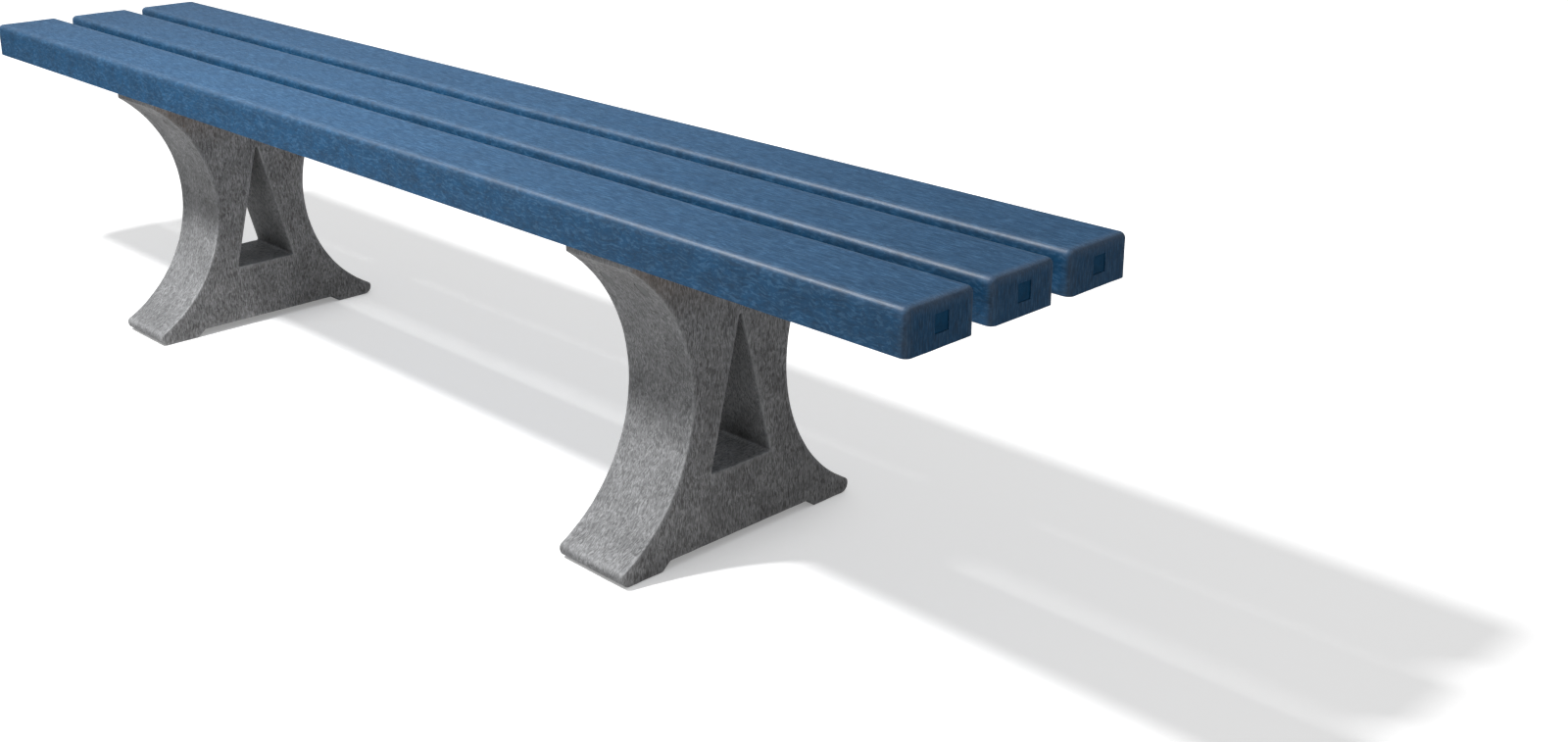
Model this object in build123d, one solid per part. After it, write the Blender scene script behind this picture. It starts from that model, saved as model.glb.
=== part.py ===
"""Backless park bench: three seat planks of recycled plastic on two cast legs.

Millimetres. +X runs along the bench, +Y to its rear, +Z up. The origin is on the ground
under the middle of the seat. Left is the -X end and right the +X end, seen from the front.
"""
from build123d import *
import math
import os

# ---- driving dimensions --------------------------------------------------------------
BENCH_LENGTH = 2000.0
SEAT_HEIGHT = 432.0

PLANK_WIDTH = 100.0
PLANK_THICKNESS = 50.0
PLANK_GAP = 25.0
PLANK_EDGE_RADIUS = 8.0       # top edges and the upright end edges; the underside stays sharp

CORE_SIDE = 20.0              # square steel tube that stiffens each plank
CORE_WALL = 2.5
PLUG_LENGTH = 24.0            # closes the core's pocket at each end of a plank
PLUG_RECESS = 1.0
PLUG_CHAMFER = 1.5

LEG_SPACING = 1090.0          # between the middles of the two legs
LEG_THICKNESS = 114.0         # along the bench
ARM_HALF_WIDTH = 162.0        # top of the leg, under the planks
TOE_HALF_WIDTH = 186.5        # foot of the leg
WAIST_HALF_WIDTH = 75.5
BAY_RADIUS = 207.5            # the hollow front and rear of the leg
BAY_CENTRE_HEIGHT = 200.5
TOE_TOP_RADIUS = 7.0
TOE_BOTTOM_RADIUS = 12.0
LEG_EDGE_RADIUS = 2.0

ARCH_HEIGHT = 10.0            # shallow relief under the foot, between its two pads
ARCH_HALF_WIDTH_TOP = 113.0
ARCH_HALF_WIDTH_GROUND = 125.0

WINDOW_APEX_HEIGHT = 290.0    # triangular window through the leg
WINDOW_SILL_HEIGHT = 98.0
WINDOW_SILL_HALF_WIDTH = 48.0
WINDOW_CORNER_RADIUS = 2.0

BOLT_RADIUS = 4.0             # M8 socket-head bolts, up through the leg into the core tube
BOLT_LENGTH = 45.0
BOLT_SPACING = 60.0           # two bolts side by side under each plank
BOLT_SEAT_DEPTH = 24.0        # from the leg's top down to the washer's seat
HEAD_RADIUS = 6.5
HEAD_HEIGHT = 8.0
SOCKET_FLATS = 6.0
SOCKET_DEPTH = 4.0
WASHER_RADIUS = 8.0
WASHER_THICKNESS = 1.6
CLEARANCE_RADIUS = 4.5
COUNTERBORE_RADIUS = 8.5
CAP_TOP_GAP = 2.0             # air between a cap and the bolt head behind it

# ---- derived dimensions --------------------------------------------------------------
LEG_HEIGHT = SEAT_HEIGHT - PLANK_THICKNESS
PLANK_PITCH = PLANK_WIDTH + PLANK_GAP
PLANK_MIDDLE_HEIGHT = LEG_HEIGHT + PLANK_THICKNESS / 2
BAY_CENTRE_OFFSET = WAIST_HALF_WIDTH + BAY_RADIUS
CORE_LENGTH = BENCH_LENGTH - 2 * (PLUG_LENGTH + PLUG_RECESS)
BOLT_SEAT_HEIGHT = LEG_HEIGHT - BOLT_SEAT_DEPTH
HEAD_TOP_HEIGHT = BOLT_SEAT_HEIGHT - WASHER_THICKNESS
CAP_TOP_HEIGHT = HEAD_TOP_HEIGHT - HEAD_HEIGHT - CAP_TOP_GAP

PLANKS = {"front": -PLANK_PITCH, "middle": 0.0, "rear": PLANK_PITCH}
LEGS = {"left": -LEG_SPACING / 2, "right": LEG_SPACING / 2}


def bay_height(half_width, side):
    """Height of the bay's arc at a distance from the leg's middle; side is +1 above the waist."""
    run = BAY_CENTRE_OFFSET - half_width
    return BAY_CENTRE_HEIGHT + side * math.sqrt(BAY_RADIUS**2 - run**2)


def bolt_places():
    """Places of one leg's bolts from the leg's middle, two under each plank."""
    for plank_y in PLANKS.values():
        for side in (-1, 1):
            yield side * BOLT_SPACING / 2, plank_y


def upright_cylinder(x, y, bottom, top, radius):
    """A vertical cylinder between two heights."""
    middle = Pos(x, y, (bottom + top) / 2)
    return middle * Cylinder(radius, top - bottom)


def together(solids):
    """Separate solids kept as one group."""
    return Compound(children=list(solids))


# ---- seat ----------------------------------------------------------------------------
def seat_plank(plank_y):
    """A solid plank with rounded upper and end edges, a core pocket and its bolt holes."""
    plank = Box(BENCH_LENGTH, PLANK_WIDTH, PLANK_THICKNESS)
    upper = plank.edges().group_by(Axis.Z)[-1]
    upright = plank.edges().filter_by(Axis.Z)
    plank = fillet(upper + upright, PLANK_EDGE_RADIUS)
    plank -= Box(BENCH_LENGTH, CORE_SIDE, CORE_SIDE)
    plank = Pos(0, plank_y, PLANK_MIDDLE_HEIGHT) * plank
    for leg_x in LEGS.values():
        for side in (-1, 1):
            x = leg_x + side * BOLT_SPACING / 2
            plank -= upright_cylinder(x, plank_y, LEG_HEIGHT, PLANK_MIDDLE_HEIGHT, CLEARANCE_RADIUS)
    return plank


def core_tube(plank_y):
    """The square steel tube in a plank, its lower wall tapped for the bolts."""
    hollow = CORE_SIDE - 2 * CORE_WALL
    tube = Box(CORE_LENGTH, CORE_SIDE, CORE_SIDE) - Box(CORE_LENGTH, hollow, hollow)
    tube = Pos(0, plank_y, PLANK_MIDDLE_HEIGHT) * tube
    for leg_x in LEGS.values():
        for side in (-1, 1):
            x = leg_x + side * BOLT_SPACING / 2
            tube -= upright_cylinder(x, plank_y, LEG_HEIGHT, PLANK_MIDDLE_HEIGHT, BOLT_RADIUS)
    return tube


def end_plug(plank_y, end):
    """A square plug in one end of a plank; end is -1 at the left and +1 at the right."""
    plug = Box(PLUG_LENGTH, CORE_SIDE, CORE_SIDE)
    inner_edges = plug.edges().group_by(Axis.X)[0]
    plug = chamfer(inner_edges, PLUG_CHAMFER)
    middle = BENCH_LENGTH / 2 - PLUG_RECESS - PLUG_LENGTH / 2
    turn = Rot(0, 0, 0 if end > 0 else 180)
    return Pos(end * middle, plank_y, PLANK_MIDDLE_HEIGHT) * turn * plug


# ---- leg -----------------------------------------------------------------------------
def leg_outline():
    """The leg's outline in the YZ plane: top, two bays, two toes and the arch between pads."""
    arm_z = bay_height(ARM_HALF_WIDTH, 1)
    toe_z = bay_height(TOE_HALF_WIDTH, -1)
    half = [
        Line((0, LEG_HEIGHT), (ARM_HALF_WIDTH, LEG_HEIGHT)),
        Line((ARM_HALF_WIDTH, LEG_HEIGHT), (ARM_HALF_WIDTH, arm_z)),
        ThreePointArc(
            (ARM_HALF_WIDTH, arm_z), (WAIST_HALF_WIDTH, BAY_CENTRE_HEIGHT), (TOE_HALF_WIDTH, toe_z)
        ),
        Polyline(
            (TOE_HALF_WIDTH, toe_z),
            (TOE_HALF_WIDTH, 0),
            (ARCH_HALF_WIDTH_GROUND, 0),
            (ARCH_HALF_WIDTH_TOP, ARCH_HEIGHT),
            (0, ARCH_HEIGHT),
        ),
    ]
    edges = []
    for curve in half:
        edges += curve.edges()
        edges += mirror(curve, about=Plane.YZ).edges()
    face = make_face(edges)
    top_corners = [v for v in face.vertices() if abs(abs(v.X) - TOE_HALF_WIDTH) < 0.01 and v.Y > 1]
    face = fillet(top_corners, TOE_TOP_RADIUS)
    tips = [v for v in face.vertices() if abs(abs(v.X) - TOE_HALF_WIDTH) < 0.01 and v.Y < 1]
    return fillet(tips, TOE_BOTTOM_RADIUS)


def window_outline():
    """The triangular window with slightly rounded corners."""
    triangle = make_face(
        Polyline(
            (-WINDOW_SILL_HALF_WIDTH, WINDOW_SILL_HEIGHT),
            (WINDOW_SILL_HALF_WIDTH, WINDOW_SILL_HEIGHT),
            (0, WINDOW_APEX_HEIGHT),
            close=True,
        )
    )
    return fillet(triangle.vertices(), WINDOW_CORNER_RADIUS)


def leg_blank():
    """The cast leg before drilling, with its middle at x = 0."""
    outline = leg_outline() - window_outline()
    upright = Plane(origin=(-LEG_THICKNESS / 2, 0, 0), x_dir=(0, 1, 0), z_dir=(1, 0, 0))
    blank = extrude(upright * outline, LEG_THICKNESS)
    face_edges = blank.faces().sort_by(Axis.X)[0].edges() + blank.faces().sort_by(Axis.X)[-1].edges()
    top = LEG_HEIGHT - 0.01
    softened = [edge for edge in face_edges if edge.center().Z < top]
    return fillet(softened, LEG_EDGE_RADIUS)


def leg(blank, leg_x):
    """A leg drilled and counterbored from below for the bolts."""
    drilled = blank
    for x, y in bolt_places():
        mouth = bay_height(abs(y) - COUNTERBORE_RADIUS, 1) if y else WINDOW_SILL_HEIGHT * 2
        drilled -= upright_cylinder(x, y, mouth - LEG_EDGE_RADIUS, BOLT_SEAT_HEIGHT, COUNTERBORE_RADIUS)
        drilled -= upright_cylinder(x, y, BOLT_SEAT_HEIGHT, LEG_HEIGHT, CLEARANCE_RADIUS)
    return Pos(leg_x, 0, 0) * drilled


# ---- fixings -------------------------------------------------------------------------
def bolt(x, y):
    """A socket-head bolt, head down."""
    head_bottom = HEAD_TOP_HEIGHT - HEAD_HEIGHT
    body = upright_cylinder(x, y, head_bottom, HEAD_TOP_HEIGHT, HEAD_RADIUS)
    body += upright_cylinder(x, y, HEAD_TOP_HEIGHT, HEAD_TOP_HEIGHT + BOLT_LENGTH, BOLT_RADIUS)
    socket = extrude(RegularPolygon(SOCKET_FLATS / 2, 6, major_radius=False), SOCKET_DEPTH)
    return body - Pos(x, y, head_bottom) * socket


def washer(x, y):
    """A flat washer between a bolt's head and its seat."""
    ring = upright_cylinder(x, y, HEAD_TOP_HEIGHT, BOLT_SEAT_HEIGHT, WASHER_RADIUS)
    return ring - upright_cylinder(x, y, HEAD_TOP_HEIGHT, BOLT_SEAT_HEIGHT, CLEARANCE_RADIUS)


def bore_cap(blank, x, y):
    """A cap that closes a counterbore flush with the hollow face of the leg."""
    mouth = bay_height(abs(y) - COUNTERBORE_RADIUS, 1) - LEG_EDGE_RADIUS
    return upright_cylinder(x, y, mouth, CAP_TOP_HEIGHT, COUNTERBORE_RADIUS) & blank


def build():
    """Every node of the bench by name."""
    nodes = {}
    for plank, plank_y in PLANKS.items():
        nodes[f"seat_plank_{plank}"] = seat_plank(plank_y)
        nodes[f"core_tube_{plank}"] = core_tube(plank_y)
        nodes[f"end_plug_{plank}_left"] = end_plug(plank_y, -1)
        nodes[f"end_plug_{plank}_right"] = end_plug(plank_y, 1)
    blank = leg_blank()
    for side, leg_x in LEGS.items():
        at_leg = Pos(leg_x, 0, 0)
        nodes[f"leg_{side}"] = leg(blank, leg_x)
        nodes[f"seat_bolts_{side}"] = together(at_leg * bolt(x, y) for x, y in bolt_places())
        nodes[f"bolt_washers_{side}"] = together(at_leg * washer(x, y) for x, y in bolt_places())
        outer = [(x, y) for x, y in bolt_places() if y]
        nodes[f"bore_caps_{side}"] = together(at_leg * bore_cap(blank, x, y) for x, y in outer)
    return nodes


os.makedirs("parts", exist_ok=True)
for name, shape in build().items():
    export_step(shape, f"parts/{name}.step")
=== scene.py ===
"""Workshop add-on for a backless park bench of recycled plastic planks on cast legs.

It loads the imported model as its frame, builds each visible piece around it and finishes every
surface. Lengths are in metres in the model's own frame: +X along the bench, +Y to its rear,
+Z up, with the origin on the ground under the middle of the seat.
"""

import math

import bmesh
import bpy
import numpy as np
from mathutils import Matrix, Vector, geometry, kdtree, noise


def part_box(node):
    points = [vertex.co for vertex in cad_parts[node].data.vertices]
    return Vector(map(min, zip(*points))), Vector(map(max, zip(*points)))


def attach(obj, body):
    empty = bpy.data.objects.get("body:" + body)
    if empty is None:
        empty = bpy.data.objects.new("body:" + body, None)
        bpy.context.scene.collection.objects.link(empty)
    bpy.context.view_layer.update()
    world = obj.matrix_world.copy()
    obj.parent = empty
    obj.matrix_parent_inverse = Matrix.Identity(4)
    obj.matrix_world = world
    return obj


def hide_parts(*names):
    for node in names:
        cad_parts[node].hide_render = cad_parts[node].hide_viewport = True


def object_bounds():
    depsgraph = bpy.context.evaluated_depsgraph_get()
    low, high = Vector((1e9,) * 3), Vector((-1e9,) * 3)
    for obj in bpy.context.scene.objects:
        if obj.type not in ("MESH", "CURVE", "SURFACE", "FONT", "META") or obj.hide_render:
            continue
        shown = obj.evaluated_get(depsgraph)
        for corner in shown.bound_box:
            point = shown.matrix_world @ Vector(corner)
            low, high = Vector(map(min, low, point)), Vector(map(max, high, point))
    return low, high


bl_info = {
    "name": "Park Bench Workshop",
    "version": (1, 0, 0),
    "blender": (4, 5, 0),
    "location": "3D View > Sidebar > Bench",
    "description": "Builds and finishes a backless bench of recycled plastic around its packed model",
    "category": "Add Mesh",
}

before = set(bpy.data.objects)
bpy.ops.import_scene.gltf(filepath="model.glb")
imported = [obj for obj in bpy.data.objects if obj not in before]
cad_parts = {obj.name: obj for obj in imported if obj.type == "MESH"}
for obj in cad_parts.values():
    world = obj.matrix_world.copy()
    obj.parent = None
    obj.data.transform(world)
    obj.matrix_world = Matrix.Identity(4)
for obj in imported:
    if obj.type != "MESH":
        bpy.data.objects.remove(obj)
CAD_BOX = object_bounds()

PLANKS = ("front", "middle", "rear")
ENDS = ("left", "right")
FRAME_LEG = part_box("leg_right")
FRAME_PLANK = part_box("seat_plank_middle")
FRAME_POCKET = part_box("core_tube_middle")
SHARP_ANGLE = math.radians(38)


# ---- settings ------------------------------------------------------------------------
def plain(name, description, default, **more):
    """A number."""
    return bpy.props.FloatProperty(name=name, description=description, default=default, **more)


def metres(name, description, default, **more):
    """A length."""
    return plain(name, description, default, unit="LENGTH", **more)


def radians(name, description, default):
    """An angle."""
    return plain(name, description, default, subtype="ANGLE")


def triple(name, description, default, **more):
    """Three numbers that belong together."""
    return bpy.props.FloatVectorProperty(
        name=name, description=description, default=default, size=3, **more
    )


def point(name, description, default):
    """A place in space."""
    return triple(name, description, default, subtype="TRANSLATION")


def rgb(name, description, default):
    """A colour without its alpha."""
    return triple(name, description, default, subtype="COLOR", min=0.0, max=1.0)


class PlankSettings(bpy.types.PropertyGroup):
    """Sizes and colours of the seat planks and their end plugs."""

    edge_radius: metres("Edge radius", "Radius of the top and upright end edges", 0.008, min=0.001)
    grid: metres("Mesh spacing", "Distance between neighbouring points of the mesh", 0.005, min=0.002)
    waviness: metres("Waviness", "How far the extruded faces dip below true", 0.0004, min=0.0)
    body_colour: rgb("Body colour", "Main blue of the planks", (0.018, 0.064, 0.137))
    pale_colour: rgb("Pale fibre colour", "Paler blue of the drawn-out fibres", (0.060, 0.152, 0.272))
    dark_colour: rgb("Dark fibre colour", "Darker blue between the fibres", (0.004, 0.036, 0.084))
    side_colour: rgb("Side colour", "Blue of the front and rear faces", (0.006, 0.055, 0.130))
    end_colour: rgb("End colour", "Blue of the sawn end faces", (0.001, 0.052, 0.131))
    # Paler edge colour: partly scuffing, partly a painted highlight and reflection on the rounded edges,
    # strongest along the tops of the ends.
    edge_wear_and_highlight_colour: rgb("Edge colour", "Brown-grey of the scuffed edges", (0.130, 0.165, 0.225))
    plug_colour: rgb("Plug colour", "Deep blue of the end plugs", (0.001, 0.049, 0.118))


class LegSettings(bpy.types.PropertyGroup):
    """Sizes and colours of the cast legs."""

    arm_half_width: metres("Arm half width", "From the leg's middle to the tip of its arm", 0.162)
    waist_half_width: metres("Waist half width", "From the leg's middle to its hollow front", 0.0755)
    bay_radius: metres("Bay radius", "Radius of the hollow front and rear", 0.2075)
    bay_height: metres("Bay height", "Height of the hollows' deepest point", 0.2005)
    toe_radius: metres("Toe radius", "Radius on top of the toes", 0.007)
    sole_radius: metres("Sole radius", "Radius under the toes", 0.012)
    edge_radius: metres("Edge radius", "Radius round the two side faces", 0.002)
    corner_radius: metres("Corner radius", "Radius of the arm tips and of the pads' corners", 0.0024)
    arch_height: metres("Arch height", "Relief under the foot between its two pads", 0.010)
    arch_half_width: metres("Arch half width", "From the leg's middle to the end of the arch", 0.113)
    pad_half_width: metres("Pad half width", "From the leg's middle to a pad", 0.125)
    window_apex: metres("Window apex", "Height of the triangular window's peak", 0.290)
    window_sill: metres("Window sill", "Height of the window's sill", 0.098)
    sill_half_width: metres("Sill half width", "Half the width of the window's sill", 0.048)
    window_radius: metres("Window corner radius", "Radius in the window's corners", 0.002)
    bolt_spacing: metres("Bolt spacing", "Distance between the two bolts under a plank", 0.060)
    plank_pitch: metres("Plank pitch", "Distance between the middles of planks", 0.125)
    bore_radius: metres("Counterbore radius", "Radius of the bores that take the bolt heads", 0.0085)
    hole_radius: metres("Bolt hole radius", "Radius of the holes that clear the bolts", 0.0045)
    bolt_seat_depth: metres("Bolt seat depth", "From the leg's top to the washers' seat", 0.024)
    cap_top: metres("Cap top", "Height of the flat inner face of the bore caps", 0.3464)
    grid: metres("Mesh spacing", "Distance between neighbouring points of the mesh", 0.004, min=0.002)
    unevenness: metres("Unevenness", "How far the cast faces dip below true", 0.0005, min=0.0)
    body_colour: rgb("Body colour", "Main grey of the castings", (0.186, 0.189, 0.194))
    pale_colour: rgb("Pale fleck colour", "Paler grey of the flecks", (0.400, 0.404, 0.410))
    dark_colour: rgb("Dark fleck colour", "Darker grey of the flecks", (0.075, 0.076, 0.078))
    # Painted reflection: this brown is painted towards the top of the legs as light thrown down from the
    # seat, not a colour of the casting.
    warm_reflection_colour: rgb("Warm fleck colour", "Brown of the stray coloured flecks", (0.270, 0.190, 0.130))


class StudioSettings(bpy.types.PropertyGroup):
    """The lamp, the fill, the floor and the camera."""

    lamp_power: plain("Lamp power", "Power of the soft lamp", 77.0, min=0.0, unit="POWER")
    lamp_size: metres("Lamp size", "Diameter of the lamp's disc", 0.24, min=0.01)
    lamp_place: point("Lamp place", "Where the lamp hangs", (-0.442, -0.950, 2.115))
    fill: plain("Fill", "Strength of the even white light from all round", 0.21, min=0.0)
    horizon: plain("Horizon glow", "Strength of the sky low behind the far end", 0.34, min=0.0)
    side_fill: plain("Side fill", "Strength of the shadowless light from the right", 0.50, min=0.0)
    floor_bounce: plain("Floor bounce", "Light that the floor throws back", 0.62, min=0.0, max=1.0)
    floor_glow: plain("Floor glow", "Light that the floor shows but does not throw", 0.475, min=0.0)
    contact: metres("Contact shadow", "Reach of the soft shadow close round the feet", 0.10, min=0.01)
    white_from: metres("White from", "Where the floor starts to turn pure white", 0.9, min=0.1)
    lens: plain("Lens", "Focal length of the camera", 40.4744, min=10.0, unit="CAMERA")
    camera_place: point("Camera place", "Where the camera stands", (1.97593, -1.32041, 0.95861))
    heading: radians("Heading", "How far the camera turns to the left", 0.7798)
    dip: radians("Dip", "How far the camera looks down from level", 0.3073)
    roll: radians("Roll", "How far the camera leans", 0.0049)
    rise: plain("Vertical shift", "Shift of the lens in widths of the picture", -0.07375)


# ---- mesh tools ----------------------------------------------------------------------
def steps(start, end, spacing):
    """Even values from start to end, about spacing apart, both ends included."""
    count = max(1, round(abs(end - start) / spacing))
    return np.linspace(start, end, count + 1)


def arc(centre, radius, start, end, spacing):
    """Points of an arc between two angles, both ends included."""
    angles = steps(start, end, spacing / radius)
    return [(centre[0] + radius * math.cos(a), centre[1] + radius * math.sin(a)) for a in angles]


def soften(points, corners, radius, pieces=5):
    """A closed outline whose named corners are rounded with arcs of that radius."""
    softened = []
    for i, here in enumerate(points):
        if i not in corners:
            softened.append(here)
            continue
        here = Vector(here)
        before = (Vector(points[i - 1]) - here).normalized()
        after = (Vector(points[(i + 1) % len(points)]) - here).normalized()
        half = before.angle(after) / 2
        middle = here + (before + after).normalized() * radius / math.sin(half)
        start = here + before * radius / math.tan(half) - middle
        end = here + after * radius / math.tan(half) - middle
        for t in np.linspace(0, 1, pieces + 1):
            spoke = start.lerp(end, t).normalized() * radius
            softened.append(tuple(middle + spoke))
    return softened


def space_out(points, spacing):
    """The same closed outline with points added on its long straight stretches."""
    spaced = []
    for here, after in zip(points, points[1:] + points[:1]):
        count = max(1, round(math.dist(here, after) / spacing))
        spaced += [tuple(Vector(here).lerp(Vector(after), k / count)) for k in range(count)]
    return spaced


def inset(points, depth, kept_height=None):
    """A closed outline moved by depth to its left-hand side; edges at kept_height stay put."""
    moved = []
    ring = [Vector(p) for p in points]
    for before, here, after in zip(ring[-1:] + ring[:-1], ring, ring[1:] + ring[:1]):
        normals, shifts = [], []
        for start, end in ((before, here), (here, after)):
            run = (end - start).normalized()
            normals.append(Vector((run.y, -run.x)))
            kept = kept_height is not None and min(start.y, end.y) > kept_height - 1e-6
            shifts.append(0.0 if kept else -depth)
        (a, b), (p, q) = normals, shifts
        turn = a.cross(b)
        if abs(turn) < 1e-3:
            moved.append(here + (a + b).normalized() * (p + q) / 2)
        else:
            moved.append(here + Vector((p * b.y - q * a.y, q * a.x - p * b.x)) / turn)
    return [tuple(p) for p in moved]


def border(across, along):
    """The outline of a rectangle through every value across and along it."""
    loop = [(u, along[0]) for u in across]
    loop += [(across[-1], v) for v in along[1:]]
    loop += [(u, along[-1]) for u in across[-2::-1]]
    return loop + [(across[0], v) for v in along[-2:0:-1]]


def run_lengths(outline):
    """A closed outline with its first point repeated, and the run from it to every point."""
    closed = np.array(outline + outline[:1])
    runs = np.concatenate(([0], np.cumsum(np.linalg.norm(np.diff(closed, axis=0), axis=1))))
    return closed, runs


def share(value):
    """A value kept between nought and one."""
    return max(0.0, min(1.0, value))


def within(points, loop):
    """Which points lie inside a closed outline."""
    inside = np.zeros(len(points), bool)
    for a, b in zip(loop, loop[1:] + loop[:1]):
        if a[1] != b[1]:
            crosses = (a[1] > points[:, 1]) != (b[1] > points[:, 1])
            at = a[0] + (points[:, 1] - a[1]) / (b[1] - a[1]) * (b[0] - a[0])
            inside ^= crosses & (points[:, 0] < at)
    return inside


def distance_to(points, loop):
    """How far each point lies from a closed outline."""
    near = np.full(len(points), np.inf)
    starts = np.asarray(loop)
    for a, run in zip(starts, np.roll(starts, -1, axis=0) - starts):
        t = np.clip((points - a) @ run / max(run @ run, 1e-18), 0, 1)
        near = np.minimum(near, np.hypot(*(points - a - t[:, None] * run).T))
    return near


def panel(bm, loops, across, along, place, clear):
    """Fills a flat outline, less its holes, with even triangles and puts them in space."""
    grid = np.array([(u, v) for u in across for v in along])
    good = within(grid, loops[0])
    for loop in loops:
        good &= distance_to(grid, loop) > clear
    points, edges = [], []
    for loop in loops:
        first = len(points)
        points += loop
        edges += [(first + i, first + (i + 1) % len(loop)) for i in range(len(loop))]
    flat = [Vector(p) for p in points] + [Vector(p) for p in grid[good]]
    verts, _, faces, *_ = geometry.delaunay_2d_cdt(flat, edges, [], 1, 1e-7)
    corners = np.array([tuple(v) for v in verts])
    middles = np.array([corners[face].mean(axis=0) for face in faces])
    cut = np.zeros(len(faces), bool)
    for hole in loops[1:]:
        cut |= within(middles, hole)
    made = [bm.verts.new(place(u, v)) for u, v in corners]
    for face, gone in zip(faces, cut):
        if not gone:
            bm.faces.new([made[i] for i in face])


def bridge(bm, rings, closed=True):
    """Joins rings of equal length with four-sided faces."""
    made = [[bm.verts.new(p) for p in ring] for ring in rings]
    for low, high in zip(made, made[1:]):
        for i in range(len(low) if closed else len(low) - 1):
            j = (i + 1) % len(low)
            bm.faces.new((low[i], low[j], high[j], high[i]))
    return made


def circle(x, y, radius, pieces=32):
    """Points of a circle in plan."""
    turns = np.linspace(0, 2 * math.pi, pieces, endpoint=False)
    return [(x + radius * math.cos(a), y + radius * math.sin(a)) for a in turns]


def close_up(bm):
    """Welds the patches of a piece into one closed skin that faces outwards."""
    bmesh.ops.remove_doubles(bm, verts=bm.verts, dist=2e-6)
    bmesh.ops.dissolve_degenerate(bm, edges=bm.edges, dist=1e-7)
    bmesh.ops.recalc_face_normals(bm, faces=bm.faces)
    bm.normal_update()
    loose = [edge for edge in bm.edges if not edge.is_manifold]
    if loose:
        raise RuntimeError(f"{len(loose)} edges of a piece are open")


def sink(bm, depth, scales, shift):
    """Dips the skin below true by up to depth, in slow waves of the given lengths."""
    lows = []
    for vert in bm.verts:
        place = Vector([c / s for c, s in zip(vert.co, scales)]) + shift
        lows.append(0.5 + 0.5 * noise.fractal(place, 0.8, 2.2, 3))
    for vert, low in zip(bm.verts, lows):
        vert.co -= vert.normal * depth * share(low)


def show(made):
    """Puts an object in the scene."""
    bpy.context.scene.collection.objects.link(made)
    return made


def finish_piece(name, bm, material, stands_for, measures):
    """Turns a mesh under construction into a finished piece of the bench."""
    mesh = bpy.data.meshes.new(name)
    bm.to_mesh(mesh)
    bm.free()
    mesh.polygons.foreach_set("use_smooth", [True] * len(mesh.polygons))
    mesh.set_sharp_from_angle(angle=SHARP_ANGLE)
    for attribute, values in measures.items():
        layer = mesh.attributes.new(attribute, "FLOAT", "POINT")
        layer.data.foreach_set("value", np.asarray(values, np.float32))
    mesh.materials.append(material)
    piece = show(bpy.data.objects.new(name, mesh))
    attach(piece, "root")
    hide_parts(*stands_for)
    return piece


# ---- node tools ----------------------------------------------------------------------
def join(tree, socket, value):
    """Gives an input a value, or links another node's output to it."""
    if isinstance(value, bpy.types.NodeSocket):
        tree.links.new(value, socket)
    else:
        socket.default_value = value


def feed(tree, made, inputs):
    """Gives a node's inputs their values and links."""
    for name, value in inputs.items():
        join(tree, made.inputs[name], value)
    return made


def put(tree, kind, inputs=None, **settings):
    """Adds a shader node, sets it and gives its inputs their values and links."""
    made = tree.nodes.new(f"ShaderNode{kind}")
    for name, value in settings.items():
        setattr(made, name, value)
    return feed(tree, made, inputs or {})


def maths(tree, operation, *values, clamp=False):
    """The result of one step of arithmetic."""
    made = put(tree, "Math", dict(enumerate(values)), operation=operation)
    made.use_clamp = clamp
    return made.outputs[0]


def vector_maths(tree, operation, *values):
    """The result of one step of vector arithmetic."""
    made = put(tree, "VectorMath", dict(enumerate(values)), operation=operation)
    return made.outputs[0]


def times(tree, first, second):
    """The product of two values."""
    return maths(tree, "MULTIPLY", first, second)


def scaled(tree, vector, factor):
    """A vector or colour times a value."""
    return put(tree, "VectorMath", {0: vector, "Scale": factor}, operation="SCALE").outputs[0]


def blend(tree, factor, first, second):
    """One colour mixed with another by a mask."""
    return put(tree, "Mix", {0: factor, 6: first, 7: second}, data_type="RGBA").outputs[2]


def mix_value(tree, factor, first, second):
    """One value mixed with another by a mask."""
    return put(tree, "Mix", {0: factor, 2: first, 3: second}, data_type="FLOAT").outputs[0]


def level(tree, value, low, high, to_low=0.0, to_high=1.0):
    """A value eased from one range to another."""
    inputs = {0: value, 1: low, 2: high, 3: to_low, 4: to_high}
    made = put(tree, "MapRange", inputs, interpolation_type="SMOOTHSTEP")
    return made.outputs[0]


def cloud(tree, vector, scale, detail=2.0, roughness=0.5, distortion=0.0):
    """The grey value of a noise."""
    inputs = {
        "Vector": vector,
        "Scale": scale,
        "Detail": detail,
        "Roughness": roughness,
        "Distortion": distortion,
    }
    return put(tree, "TexNoise", inputs).outputs["Fac"]


def open_group(name, inputs, outputs):
    """Starts a node group and gives back its tree, entry and exit; None stands for a vector."""
    tree = bpy.data.node_groups.new(name, "ShaderNodeTree")
    for label, default in inputs.items():
        kind = "NodeSocketVector" if default is None else "NodeSocketFloat"
        socket = tree.interface.new_socket(label, in_out="INPUT", socket_type=kind)
        if default is not None:
            socket.default_value = default
    for label in outputs:
        tree.interface.new_socket(label, in_out="OUTPUT", socket_type="NodeSocketFloat")
    return tree, tree.nodes.new("NodeGroupInput").outputs, tree.nodes.new("NodeGroupOutput")


def place_group(tree, group, inputs):
    """Places a node group in a material with its own values."""
    return put(tree, "Group", inputs, node_tree=bpy.data.node_groups[group]).outputs


def opaque(colour):
    """A colour property as the four values that a colour socket takes."""
    return (*colour, 1.0)


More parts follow.
